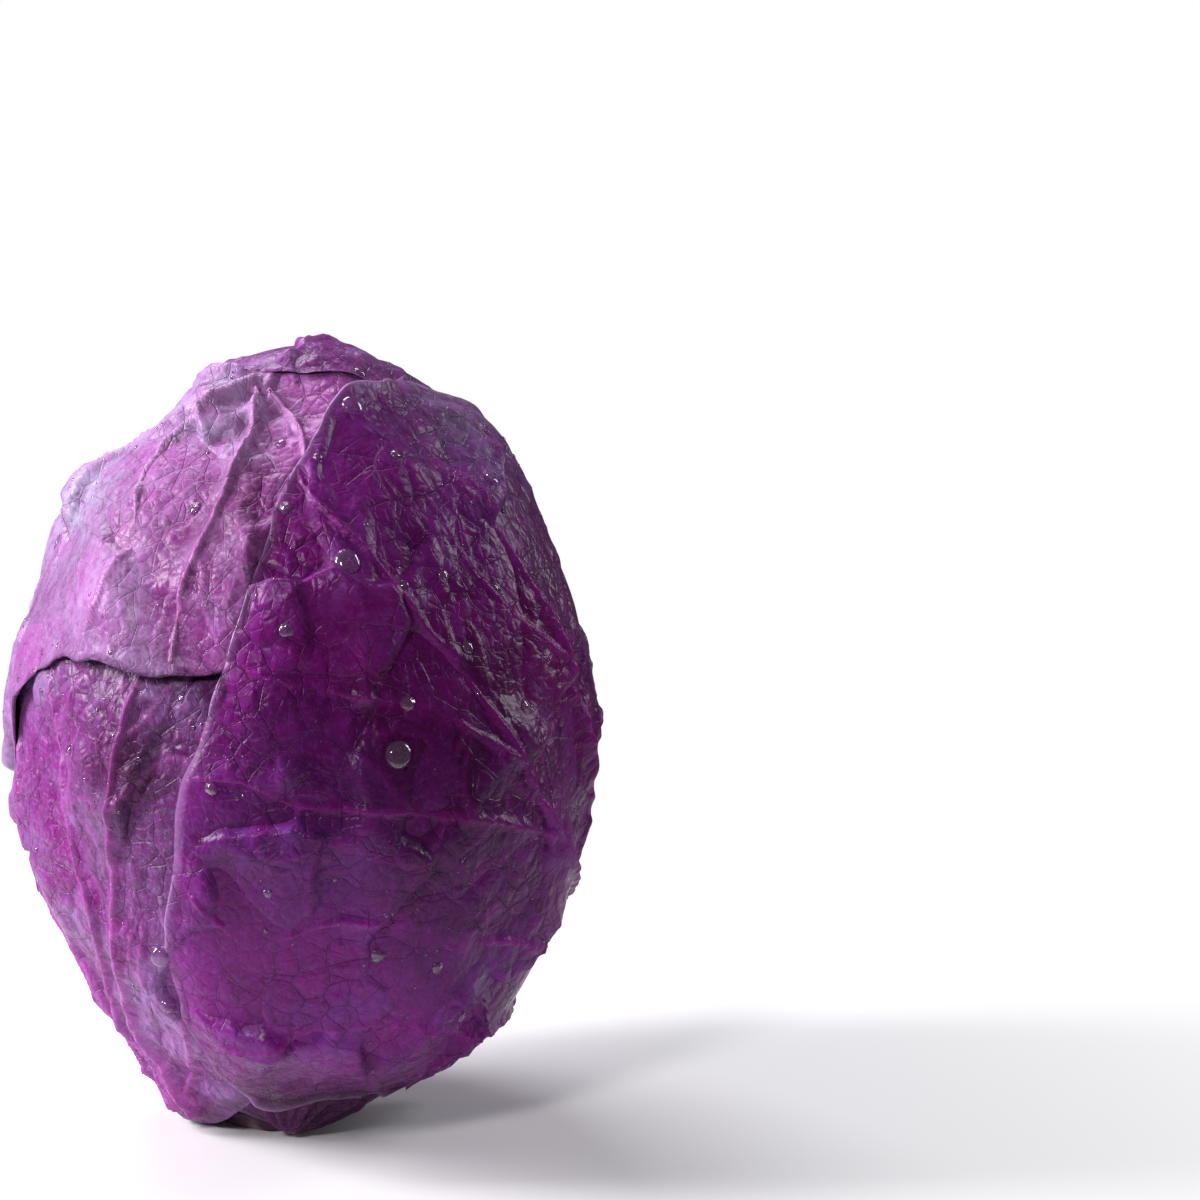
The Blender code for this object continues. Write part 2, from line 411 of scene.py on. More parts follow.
def leaf_detail(leaf, plane):
    """Relief in mm and how strongly each kind of vein shows."""
    net = leaf.grow_veins()
    relief = np.zeros(len(plane))
    shown = []
    for order in range(3):
        distance, width, height = nearest(net.dense(order), plane)
        crest = np.exp(-((distance / width) ** 2))
        skirt = np.exp(-distance / SKIRTS[order])
        share = SKIRT_SHARES[order]
        relief += RIB_RISE * height * ((1 - share) * crest + share * skirt)
        shown.append(np.exp(-((distance / (width * 1.15)) ** 2)))
    for width, height, *points in leaf.folds:
        route = resampled(leaf.plane(direction(*np.array(points, float).T)), Network.STEP)
        tall = height * np.sin(pi * (np.arange(len(route)) + 0.5) / len(route))
        distance, _, tall = nearest(np.column_stack([route, tall, tall]), plane)
        relief += tall * np.exp(-((distance / width) ** 2))
    warped = plane + 2.0 * np.stack([noise(plane, 9, leaf.seed + 7), noise(plane, 9, leaf.seed + 8)], -1)
    relief += 2.3 * pucker(warped, 25.0, leaf.seed + 70, 22) + 0.30 * pucker(warped, 11.0, leaf.seed + 20)
    relief += 0.07 * pucker(warped, 4.6, leaf.seed + 30)
    relief += 0.04 * noise(plane, 2.2, leaf.seed + 9)
    for size, tall, layer in CREASES:
        relief += tall * (1 - np.minimum(np.abs(noise(warped, size, leaf.seed + layer)) * 2.2, 1))
    return relief - RELIEF_MIDDLE, shown


def disc_from_square(x, y):
    across = x * np.sqrt(1 - y * y / 2)
    along = y * np.sqrt(1 - x * x / 2)
    return np.hypot(across, along), np.arctan2(across, along)


def square_grid(cells):
    """Points of a square grid from -1 to 1 and the indices of its quads, facing +Z."""
    line = np.linspace(-1, 1, cells + 1)
    x, y = (a.ravel() for a in np.meshgrid(line, line))
    first = (np.arange(cells)[:, None] * (cells + 1) + np.arange(cells)).ravel()
    quads = np.stack([first, first + 1, first + cells + 2, first + cells + 1], -1)
    return x, y, quads


def border(cells):
    """Indices round a square grid's edge, counter-clockwise."""
    side = cells + 1
    bottom = np.arange(cells)
    right = np.arange(cells) * side + cells
    top = cells * side + np.arange(cells, 0, -1)
    left = np.arange(cells, 0, -1) * side
    return np.concatenate([bottom, right, top, left])


EDGE_MM = 9.0  # how far in from its margin a leaf starts to press down on what is under it
PRESSED_MM = 1.8  # how far it presses down where it doesn't curl
CURL_MM = 3.5  # how far in from the margin a curl fades
RIM_MM = 1.3  # how wide the raised rim is
FLATTENED_MM = (-4.0, 5.0)  # how far under another leaf a leaf starts to flatten, and where it is flat
SHADE_MM = 0.8  # how wide the painted shadow beside another leaf's margin is
SKIN_MM = 0.9
SKIN_RIM_MM = 0.5
FOOT_MM = 6.0  # how much thicker the leaves' root ends are, where they wrap the stem
FOOT_DEGREES = 9.0
CALM_DEGREES = 15.0  # how far from the stem the relief is low
GROUND_CLEARANCE = 0.0004

# Where the colour deepens to dark magenta, partly the skin's own colour and partly painted shade on the dim
# front, right side and underside, and where it cools: azimuth, elevation, radius in degrees, strength
MAGENTA_AND_SHADE_ZONES = (
    (20, -68, 17, 1.0), (-20, 46, 11, 0.5), (150, -70, 24, 0.6),
    (28, 2, 21, 1.0), (44, 20, 16, 0.9), (-37, 2, 12, 1.0), (100, -5, 30, 0.5),
)
VIOLET = (
    (-4, -20, 24, 0.9), (30, -24, 26, 0.8), (60, 55, 22, 0.7), (-90, 20, 24, 0.6), (-140, 30, 40, 0.3),
)
# Where a pale painted sheen lies over thick bloom on the side towards the key light, where the colour turns
# ruby red, and where painted shade darkens the underside round the root ends
SHEEN_AND_BLOOM_ZONES = (
    (-84, 36, 24, 1.0), (-58, 62, 18, 0.6), (-97, 2, 14, 0.9), (76, 60, 14, 0.4), (104, 20, 12, 0.5),
)
RUBY_ZONES = ((60, 12, 14, 0.8), (12, 27, 13, 0.5), (-20, 46, 12, 0.5), (-62, -8, 16, 0.4))
UNDERSIDE_SHADE_ZONES = ((30, -72, 17, 1.0), (70, -64, 13, 0.9), (0, -86, 9, 0.9))


def zone_strength(rays, zones):
    shown = np.zeros(len(rays))
    for azimuth, elevation, radius, strength in zones:
        away = np.degrees(np.arccos(np.clip(rays @ direction(azimuth, elevation), -1, 1)))
        shown = np.maximum(shown, strength * np.exp(-((away / radius) ** 2)))
    return shown


def under_others(above, rays):
    """How far each point is under other leaves, 0 to 1, and how dark the painted shadow beside their margins
    is.
    """
    under = np.zeros(len(rays))
    shade = np.zeros(len(rays))
    for upper in above:
        outside = upper.past(rays) * MM_PER_DEGREE
        under = np.maximum(under, smooth(-outside, *FLATTENED_MM))
        darkness = 0.3 + 0.7 * np.minimum(upper.curl[0] * upper.curl_share(rays), 1)
        shade = np.maximum(shade, darkness * np.exp(-np.maximum(outside, 0) / SHADE_MM))
    return under, shade


def margin_shape(leaf, rays, bearing, inside):
    """How far a leaf's margin curls up and how far it presses down, in mm."""
    ring = np.stack([np.sin(bearing), np.cos(bearing)], -1) * 60
    ripple = smooth(noise(ring, 17, leaf.seed + 50), -0.5, 0.9) + 0.2 * noise(ring, 5, leaf.seed + 51)
    share = leaf.curl_share(rays)
    raised = 1.5 * ripple * np.exp(-inside / CURL_MM) + 0.5 * np.exp(-((inside / RIM_MM) ** 2))
    pressed = leaf.sink * share + max(leaf.sink, PRESSED_MM) * (1 - share)
    return leaf.curl[0] * share * raised, pressed * (1 - smooth(inside, 0, EDGE_MM))


def leaf_surface(leaf, below, above, cells):
    """The outer side: its points, the values its material reads, its quads, and where the inner side lies."""
    x, y, quads = square_grid(cells)
    spread, bearing = disc_from_square(x, y)
    rays = leaf.rays(spread, bearing)
    inside = np.maximum(-leaf.past(rays) * MM_PER_DEGREE, 0)
    relief, shown = leaf_detail(leaf, leaf.plane(rays))
    layers = sum((lower.cover(rays) for lower in below), np.zeros(len(rays)))
    under, shade = under_others(above, rays)
    lift, sink = margin_shape(leaf, rays, bearing, inside)
    lift *= 1 - 0.8 * under
    relief *= (1 - 0.88 * under) * (0.45 + 0.55 * smooth(inside, 0, 6))
    relief += lift - sink
    base = LEAF_GAP / MM + 0.6 + layers * LEAF_PITCH / MM
    from_stem = np.degrees(np.arccos(np.clip(-rays[:, 2], -1, 1))) - STEM_OPENING
    from_stem = np.maximum(from_stem, 0)
    relief *= 1 - 0.6 * np.exp(-((from_stem / CALM_DEGREES) ** 2))
    foot = FOOT_MM * np.exp(-((from_stem / FOOT_DEGREES) ** 2)) * (0.7 + 0.3 * shown[0])
    points = on_head(rays, base + relief + foot)
    points[:, 2] = np.maximum(points[:, 2], GROUND_CLEARANCE)
    values = {
        "rib": shown[0],
        "vein": shown[1],
        "small_vein": shown[2],
        "edge": np.exp(-inside / 0.9),
        "height": np.clip(0.5 + relief / 3, 0, 1),
        "shade": shade,
        "magenta_shade": zone_strength(rays, MAGENTA_AND_SHADE_ZONES),
        "violet": zone_strength(rays, VIOLET),
        "pale": zone_strength(rays, SHEEN_AND_BLOOM_ZONES),
        "underside_shade": zone_strength(rays, UNDERSIDE_SHADE_ZONES),
        "ruby": zone_strength(rays, RUBY_ZONES),
    }
    return points, values, quads, base - sink + lift * 0.9


def put(name, data):
    """A new object with this data, in the scene."""
    made = bpy.data.objects.new(name, data)
    bpy.context.scene.collection.objects.link(made)
    return made


def paint(mesh, label, numbers):
    """Keeps a value for each point, which a material reads by this label."""
    mesh.attributes.new(label, "FLOAT", "POINT").data.foreach_set("value", np.asarray(numbers, np.float32))


def leaf_mesh(name, points, faces, uvs, values):
    mesh = bpy.data.meshes.new(name)
    mesh.from_pydata(points.tolist(), [], faces)
    mesh.uv_layers.new(name="OFBake").data.foreach_set("uv", np.asarray(uvs, np.float32).ravel())
    for label, numbers in values.items():
        paint(mesh, label, numbers)
    mesh.shade_smooth()
    mesh.update()
    return put(name, mesh)


# Where a leaf's outer and inner sides lie in its square of texture, as left, bottom, width and height, and
# the bottom and top of its rim's strip there
OUTER_UV = (0.003, 0.003, 0.994, 0.872)
INNER_UV = (0.01, 0.905, 0.98, 0.09)
RIM_UV = (0.885, 0.897)


def uv_in(area, u, v):
    left, bottom, width, height = area
    return np.column_stack([left + width * u, bottom + height * v])


def rim_between(cells, count):
    """The faces that join a leaf's outer side to its coarser inner side, and their texture places."""
    outer_ring = border(cells)
    inner_ring = border(cells // INNER_EVERY) + count
    faces = []
    uvs = []
    for step in range(len(inner_ring)):
        back = range(INNER_EVERY, -1, -1)
        own = [outer_ring[(step * INNER_EVERY + k) % len(outer_ring)] for k in back]
        faces.append([*own, inner_ring[step], inner_ring[(step + 1) % len(inner_ring)]])
        uvs += [((step + k / INNER_EVERY) / len(inner_ring), RIM_UV[0]) for k in back]
        uvs += [(step / len(inner_ring), RIM_UV[1]), ((step + 1) / len(inner_ring), RIM_UV[1])]
    return faces, uvs


def build_leaf(leaf, below, above, finish):
    extent = leaf.reaches.mean() * 2 * MM_PER_DEGREE
    cells = min(MOST_CELLS, round(extent / CELL_MM / INNER_EVERY) * INNER_EVERY)
    outer, values, quads, bottom = leaf_surface(leaf, below, above, cells)
    x, y, inner_quads = square_grid(cells // INNER_EVERY)
    spread, bearing = disc_from_square(x, y)
    index = np.arange(cells + 1)[::INNER_EVERY]
    picked = (index[:, None] * (cells + 1) + index).ravel()
    thickness = SKIN_MM - (SKIN_MM - SKIN_RIM_MM) * smooth(spread, 0.9, 1.0)
    inner = on_head(leaf.rays(spread, bearing), bottom[picked] - thickness)
    inner_quads = inner_quads[:, ::-1]
    rim, rim_uv = rim_between(cells, len(outer))
    faces = quads.tolist() + (inner_quads + len(outer)).tolist() + rim
    line = np.linspace(0, 1, cells + 1)
    u, v = (a.ravel() for a in np.meshgrid(line, line))
    outer_uv = uv_in(OUTER_UV, u, v)[quads.ravel()]
    inner_uv = uv_in(INNER_UV, (x + 1) / 2, (y + 1) / 2)[inner_quads.ravel()]
    values = {label: np.concatenate([v, v[picked] * 0.5]) for label, v in values.items()}
    uvs = np.vstack([outer_uv, inner_uv, rim_uv])
    made = leaf_mesh(leaf.name + "_skin", np.vstack([outer, inner]), faces, uvs, values)
    made.data.materials.append(finish)
    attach(made, "root")
    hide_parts(leaf.name)
    return made


def add(tree, kind, inputs=None, **settings):
    """A new shader node. An input is a value, or another node's output to link."""
    node = tree.nodes.new(kind)
    for label, value in settings.items():
        setattr(node, label, value)
    for label, value in (inputs or {}).items():
        if isinstance(value, bpy.types.NodeSocket):
            tree.links.new(value, node.inputs[label])
        else:
            node.inputs[label].default_value = value
    return node


def mixed(tree, factor, a, b, blend="MIX"):
    node = add(tree, "ShaderNodeMix", data_type="RGBA", blend_type=blend)
    for socket, value in zip((node.inputs[0], node.inputs[6], node.inputs[7]), (factor, a, b)):
        if isinstance(value, bpy.types.NodeSocket):
            tree.links.new(value, socket)
        else:
            socket.default_value = value if socket.type == "VALUE" else (*value[:3], 1)
    return node.outputs[2]


def math(tree, operation, a, b=0.0, clamp=False):
    node = add(tree, "ShaderNodeMath", operation=operation, use_clamp=clamp)
    for socket, value in zip(node.inputs, (a, b)):
        if isinstance(value, bpy.types.NodeSocket):
            tree.links.new(value, socket)
        else:
            socket.default_value = value
    return node.outputs[0]


def times(tree, a, b, clamp=False):
    return math(tree, "MULTIPLY", a, b, clamp)


def less(tree, value, share=1.0):
    """1 where the value is 0, and less by this share where it is 1."""
    return math(tree, "SUBTRACT", 1.0, times(tree, value, share))


def weighted(tree, *parts):
    """The sum of some values, each times its weight."""
    total = 0.0
    for value, weight in parts:
        total = math(tree, "ADD", total, times(tree, value, weight))
    return total


def layered(tree, colour, layers):
    """A colour with others laid over it in turn, each as an amount and a colour."""
    for amount, tint in layers:
        colour = mixed(tree, amount, colour, tint)
    return colour


def ranged(tree, value, low, high, to_low=0.0, to_high=1.0):
    inputs = {0: value, 1: low, 2: high, 3: to_low, 4: to_high}
    return add(tree, "ShaderNodeMapRange", inputs, interpolation_type="SMOOTHSTEP").outputs[0]


def new_material(name):
    made = bpy.data.materials.new(name)
    made.use_nodes = True
    tree = made.node_tree
    return made, tree, tree.nodes["Principled BSDF"]


def attribute(tree, label):
    return add(tree, "ShaderNodeAttribute", attribute_name=label).outputs["Fac"]


def noise_texture(tree, where, scale, detail=3.0, roughness=0.55):
    inputs = {"Vector": where, "Scale": scale, "Detail": detail, "Roughness": roughness}
    return add(tree, "ShaderNodeTexNoise", inputs).outputs["Fac"]


def cells_of(tree, where, scale, width):
    """1 on the lines between a Voronoi pattern's cells, and how far inside its cell a point is."""
    inputs = {"Vector": where, "Scale": scale}
    edge = add(tree, "ShaderNodeTexVoronoi", inputs, feature="DISTANCE_TO_EDGE").outputs["Distance"]
    return ranged(tree, edge, 0.0, width, 1.0, 0.0), ranged(tree, edge, 0.0, 0.30)


def tones_of(tree, where, scale):
    """A value for each of a Voronoi pattern's cells, 0 to 1."""
    tone = add(tree, "ShaderNodeTexVoronoi", {"Vector": where, "Scale": scale}).outputs["Color"]
    return ranged(tree, tone, 0.25, 0.75)


CELLS_PER_M = 150.0
FINE_CELLS_PER_M = 350.0
PANELS_PER_M = 44.0
DEEP_MAGENTA_SHADE = (0.032, 0.0004, 0.019)
COOL = (0.110, 0.020, 0.170)
RUBY = (0.24, 0.004, 0.150)
PALE = (0.43, 0.42, 0.58)
SHADOW = (0.012, 0.001, 0.012)
UNDERSIDE_SHADE_COLOUR = (0.016, 0.001, 0.018)
PAINTED = (
    "rib", "vein", "small_vein", "edge", "shade", "height", "magenta_shade", "violet", "ruby", "pale", "underside_shade",
)


def skin_patterns(tree):
    """The values painted on a leaf's points, and the patterns that its colour, shine and bumps share."""
    skin = {label: attribute(tree, label) for label in PAINTED}
    place = add(tree, "ShaderNodeTexCoord").outputs["Object"]
    drift = add(tree, "ShaderNodeTexNoise", {"Vector": place, "Scale": 120.0, "Detail": 2.0})
    bent = add(tree, "ShaderNodeVectorMath", {0: drift.outputs["Color"], 3: 0.0011}, operation="SCALE")
    bent = add(tree, "ShaderNodeVectorMath", {0: place, 1: bent.outputs[0]}, operation="ADD").outputs[0]
    netted = ranged(tree, noise_texture(tree, place, 34.0, 2.0), 0.38, 0.60, 0.25, 1.0)
    net, plump = cells_of(tree, bent, CELLS_PER_M, 0.034)
    fine_net, bead = cells_of(tree, bent, FINE_CELLS_PER_M, 0.06)
    skin.update(
        place=place,
        bent=bent,
        mottle=noise_texture(tree, place, 170.0, 5.0, 0.7),
        net=times(tree, net, netted),
        plump=times(tree, plump, netted),
        fine_net=times(tree, fine_net, netted),
        bead=bead,
    )
    return skin


def skin_colour(tree, skin, dark, lit, vein):
    """The skin's own colour, with its panels, cells and veins."""
    bent, magenta_shade = skin["bent"], skin["magenta_shade"]
    blotches = ranged(tree, noise_texture(tree, skin["place"], 26.0, 4.0), 0.34, 0.66)
    tone = ranged(tree, tones_of(tree, bent, CELLS_PER_M), 0.0, 1.0, 0.1, 0.5)
    tone = times(tree, times(tree, skin["plump"], tone), ranged(tree, magenta_shade, 0.0, 1.0, 1.0, 0.25))
    layers = (
        (ranged(tree, skin["mottle"], 0.35, 0.75, 0.0, 0.45), lit),
        (times(tree, tones_of(tree, bent, PANELS_PER_M), 0.5), dark),
        # deep magenta, partly the skin's own colour and partly painted shade
        (times(tree, magenta_shade, 0.92), DEEP_MAGENTA_SHADE),
        (times(tree, skin["violet"], 0.45), COOL),
        (times(tree, skin["ruby"], 0.6), RUBY),
        (tone, lit),
        (times(tree, skin["net"], 0.36), dark),
        (times(tree, skin["fine_net"], 0.18), dark),
        (times(tree, skin["small_vein"], 0.12), vein),
        (times(tree, skin["vein"], 0.30), vein),
        (times(tree, skin["rib"], 0.60), vein),
        (times(tree, magenta_shade, 0.35), DEEP_MAGENTA_SHADE),
    )
    return layered(tree, mixed(tree, blotches, dark, lit), layers)


def bloom_on(tree, skin, amount):
    """How thick the waxy bloom lies."""
    waxed = ranged(tree, noise_texture(tree, skin["place"], 42.0, 5.0, 0.62), 0.30, 0.70)
    waxed = times(tree, waxed, ranged(tree, skin["mottle"], 0.30, 0.62, 0.45, 1.0))
    waxed = times(tree, waxed, ranged(tree, skin["height"], 0.15, 0.75, 0.55, 1.15))
    waxed = times(tree, waxed, less(tree, skin["rib"], 0.55))
    waxed = times(tree, waxed, less(tree, skin["magenta_shade"], 0.85))
    waxed = times(tree, waxed, ranged(tree, skin["violet"], 0.0, 1.0, 1.0, 1.5))
    return times(tree, waxed, amount, clamp=True)


def dew_on(tree, place):
    """Tiny wet dots, in patches."""
    dots = add(tree, "ShaderNodeTexVoronoi", {"Vector": place, "Scale": 1300.0}).outputs["Distance"]
    patches = ranged(tree, noise_texture(tree, place, 60.0, 2.0), 0.5, 0.68)
    return times(tree, ranged(tree, dots, 0.10, 0.24, 1.0, 0.0), patches)


def skin_bumps(tree, skin, dew):
    """A normal with the skin's cells and, over them, its grain and dew."""
    cells = weighted(
        tree, (skin["mottle"], 0.40), (skin["plump"], 0.75), (skin["bead"], 0.18),
        (skin["net"], -0.45), (skin["fine_net"], -0.14),
    )
    coarse = add(tree, "ShaderNodeBump", {"Strength": 0.9, "Distance": 0.0005, "Height": cells})
    beads = weighted(tree, (noise_texture(tree, skin["place"], 1500.0, 2.0), 0.35), (dew, 1.0))
    fine = {"Strength": 0.5, "Distance": 0.00016, "Height": beads, "Normal": coarse.outputs[0]}
    return add(tree, "ShaderNodeBump", fine).outputs[0]


def leaf_material(name, dark, lit, vein, bloom, bloom_amount, rim):
    made, tree, shader = new_material(name)
    skin = skin_patterns(tree)
    place, mottle, magenta_shade, pale = (skin[label] for label in ("place", "mottle", "magenta_shade", "pale"))
    waxed = bloom_on(tree, skin, bloom_amount)
    dew = dew_on(tree, place)
    # lighter speckles in the bloom colour: painted glints of the wet skin
    painted_glints = ranged(tree, noise_texture(tree, place, 850.0, 3.0, 0.75), 0.50, 0.68, 0.0, 0.30)
    hollows = ranged(tree, noise_texture(tree, place, 420.0, 4.0, 0.7), 0.25, 0.50, 0.45, 0.0)
    layers = (
        (waxed, bloom),
        # pale painted sheen over the thick bloom, on the side towards the key light
        (times(tree, pale, ranged(tree, mottle, 0.25, 0.65, 0.25, 0.70)), PALE),
        (times(tree, painted_glints, ranged(tree, magenta_shade, 0.0, 1.0, 1.0, 0.3)), bloom),
        (hollows, dark),
        # the margin line, partly the leaf's own edge colour and partly painted highlight and shade, left out
        # under the painted sheen
        (times(tree, times(tree, skin["edge"], less(tree, pale)), 0.8), rim),
        # painted shadow beside the margins of the leaves above, left out under the painted sheen
        (times(tree, times(tree, skin["shade"], less(tree, pale)), 0.75), SHADOW),
        # painted shade on the underside round the root ends
        (times(tree, skin["underside_shade"], 0.85), UNDERSIDE_SHADE_COLOUR),
    )
    colour = layered(tree, skin_colour(tree, skin, dark, lit, vein), layers)
    rough = weighted(tree, (ranged(tree, mottle, 0.3, 0.7, 0.22, 0.34), 1.0), (waxed, 0.18), (dew, -0.22))
    tree.links.new(colour, shader.inputs["Base Color"])
    tree.links.new(rough, shader.inputs["Roughness"])
    tree.links.new(skin_bumps(tree, skin, dew), shader.inputs["Normal"])
    shader.inputs["Specular IOR Level"].default_value = 0.15
    shader.inputs["Coat Weight"].default_value = 0.05
    shader.inputs["Coat Roughness"].default_value = 0.14
    shader.inputs["Sheen Weight"].default_value = 0.03
    shader.inputs["Sheen Roughness"].default_value = 0.4
    shader.inputs["Sheen Tint"].default_value = (0.78, 0.70, 1.0, 1)
    return made


# Looks of one leaf skin, partly the leaves' own colours and partly painted light: "dark" is darker for the
# leaves in shade at the front, "pink" lighter and more bloomed for the lit top leaf. A look's rim is its
# margin line, with painted highlight on the "dark" and "middle" looks and painted shade on the "pink" one.
LOOKS = {
    "dark": dict(
        dark=(0.060, 0.0010, 0.050), lit=(0.230, 0.006, 0.205), vein=(0.29, 0.012, 0.25),
        bloom=(0.22, 0.050, 0.36), bloom_amount=0.34, rim=(0.42, 0.22, 0.48),
    ),
    "pink": dict(
        dark=(0.120, 0.005, 0.108), lit=(0.36, 0.055, 0.33), vein=(0.60, 0.20, 0.56),
        bloom=(0.52, 0.34, 0.66), bloom_amount=0.44, rim=(0.045, 0.006, 0.050),
    ),
    "middle": dict(
        dark=(0.070, 0.0012, 0.062), lit=(0.235, 0.011, 0.220), vein=(0.50, 0.09, 0.45),
        bloom=(0.42, 0.26, 0.60), bloom_amount=0.40, rim=(0.24, 0.09, 0.27),
    ),
}

# Leaves from the innermost to the outermost, with the CAD model's places and reaches. A rib is its width
# and height at the root in mm, then the azimuth and elevation of points along it from the root.
LEAVES = (
    Leaf("leaf_left_back", -120, -10, (46, 44, 42, 42, 44, 52, TO_STEM, 54, 50, 50, 48, 48), 11, "middle"),
    Leaf(
        "leaf_underside_front", 10, -38, (42, 44, 46, 46, 46, 46, TO_STEM, 44, 46, 44, 44, 42), 12, "dark",
    ),
    Leaf("leaf_low_back", 170, -28, (50, 48, 46, 44, 44, 46, TO_STEM, 46, 44, 44, 46, 48), 13, "middle"),
    Leaf(
        "leaf_lower_left", -62, -12, (50, 52, 52, 50, 52, 58, TO_STEM, 60, 54, 54, 54, 52), 14, "middle",
        curl=(0.15,), ragged=0.6, sink=1.6,
        ribs=(
            (3.4, 2.0, (-53, -68), (-57, -56), (-58, -45), (-46, -26), (-43, -11), (-40, 3), (-35, 20)),
            (2.2, 1.8, (-55, -66), (-61, -52), (-66, -41), (-55, -24), (-57, -14), (-60, 1), (-66, 16)),
            (2.0, 1.7, (-58, -66), (-65, -50), (-71, -36), (-78, -18), (-79, 1), (-82, 17)),
            (1.8, 1.5, (-62, -66), (-74, -50), (-82, -32), (-84, -10), (-86, 14)),
            (1.8, 1.4, (-68, -66), (-87, -48), (-98, -26), (-101, -4), (-100, 20)),
            (1.6, 0.8, (-50, -66), (-52, -61), (-35, -42), (-26, -22)),
        ),
        folds=((2.6, 1.8, (-52, -5), (-43, -3), (-36, -1), (-26, 2)),),
    ),
    Leaf(
        "leaf_over_top", -130, 38, (80, 98, 98, 64, 56, 74, TO_STEM, 84, 60, 60, 66, 72), 15, "pink",
        curl=(2.0, -45, 17, 32), ragged=2.2, sink=0.9,
        ribs=(
            (3.6, 1.7, (-130, -62), (-136, -25), (-143, 15), (-155, 50), (175, 76), (-36, 80), (-30, 70)),
            (2.0, 2.0, (-31, 72), (-24, 62), (-24, 50), (-25, 42), (-27, 33), (-28, 19)),
            (2.0, 2.2, (-37, 74), (-51, 63), (-58, 51), (-50, 41), (-46, 33), (-48, 25), (-54, 15)),
            (1.9, 2.0, (-56, 75), (-86, 61), (-88, 46), (-86, 30), (-86, 15)),
            (1.6, 1.6, (-24, 73), (-6, 66), (0, 57), (-1, 47)),
            (2.0, 1.1, (-140, 0), (-118, 22), (-104, 38), (-98, 54), (-93, 65)),
            (2.0, 1.1, (-134, -28), (-112, -10), (-100, 8), (-96, 24)),
            (2.0, 1.1, (-138, -14), (-160, 10), (-172, 30), (176, 48)),
            (1.6, 0.9, (-132, -40), (-152, -18), (-168, -2), (178, 10)),
        ),
    ),
    Leaf(
        "leaf_right_back", 150, 10, (92, 83, 66, 62, 60, 66, TO_STEM, 66, 60, 62, 64, 72), 16, "middle",
        curl=(0.1,), sink=1.9,
        ribs=(
            (3.8, 1.8, (150, -64), (149, -30), (151, 0), (149, 32), (147, 60), (140, 84), (-44, 83)),
            (2.0, 1.1, (150, -50), (128, -30), (112, -14), (102, 4), (96, 22)),
            (2.0, 1.1, (149, -24), (130, -4), (117, 14), (108, 34), (100, 52)),
            (1.8, 1.0, (150, 6), (134, 24), (124, 42), (112, 60), (84, 73)),
            (2.0, 1.1, (150, -46), (172, -28), (-174, -12), (-166, 6)),
            (2.0, 1.1, (150, -18), (168, 2), (-178, 20), (-168, 38)),
            (1.8, 1.0, (150, 16), (166, 34), (-180, 50), (-160, 64)),
        ),
    ),
    Leaf(
        "leaf_front_right", 42, -2, (72, 70, 66, 62, 64, 76, 58, 75, 75, 67, 60, 65), 17, "dark",
        curl=(1.0, 15, 62, 45), sink=0.75,
        ribs=(
            (3.4, 1.6, (104, -54), (92, -32), (84, -8), (67, 15), (58, 32), (53, 45), (46, 56), (39, 67)),
            (
                2.2, 1.7, (90, -26), (65, -14), (49, -1), (38, 12), (25, 25), (16, 34), (8, 40), (0, 47),
                (-6, 57),
            ),
            (1.4, 1.1, (48, 1), (27, 11), (13, 14), (1, 16), (-7, 17), (-16, 20)),
            (1.4, 1.1, (57, -10), (37, -5), (17, -2), (4, -1), (-4, 0), (-13, 3), (-24, 3)),
            (
                1.6, 1.2, (88, -34), (53, -27), (30, -24), (20, -20), (5, -18), (-7, -20), (-13, -21),
                (-25, -12),
            ),
            (1.5, 1.1, (92, -44), (59, -46), (36, -41), (25, -39), (6, -36), (-11, -38), (-26, -41)),
            (1.4, 0.7, (68, 14), (54, 22), (44, 31), (36, 44), (29, 56)),
            (1.4, 0.7, (80, 0), (94, 14), (100, 26)),
            (1.4, 0.7, (59, 30), (70, 43), (76, 55)),
        ),
        folds=(
            (3.0, 1.5, (-24, 2), (-16, 4), (-8, 3), (-1, 5)),
            (3.0, 1.5, (-19, -2), (-13, -6), (-5, -8)),
        ),
    ),
)


def build_inner_head():
    """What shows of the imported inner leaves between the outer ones."""
    bm = bmesh.new()
    bmesh.ops.create_icosphere(bm, subdivisions=6, radius=1)
    rays = np.array([vertex.co[:] for vertex in bm.verts])
    rays /= np.linalg.norm(rays, axis=1)[:, None]
    azimuth = np.arctan2(rays[:, 0], -rays[:, 1])
    low = smooth(-rays[:, 2], 0.75, 0.99)
    folds = np.cos(azimuth * 9 + 3 * noise(rays, 0.5, 3)) * low * 0.8
    relief = 0.4 * noise(rays * 70, 8, 31) + folds - 0.3
    points = on_head(rays, relief)
    for vertex, point in zip(bm.verts, points):
        vertex.co = Vector(point)
    mesh = bpy.data.meshes.new("inner_leaves")
    bm.to_mesh(mesh)
    bm.free()
    mesh.shade_smooth()
    paint(mesh, "rib", low * smooth(folds, 0.1, 0.6))
    paint(mesh, "height", 0.5 + folds * 0.3)
    made = put("inner_leaves", mesh)
    look = {**LOOKS["middle"], "vein": (0.62, 0.36, 0.52)}
    made.data.materials.append(leaf_material("inner_leaves", **look))
    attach(made, "root")
    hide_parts("inner_head")


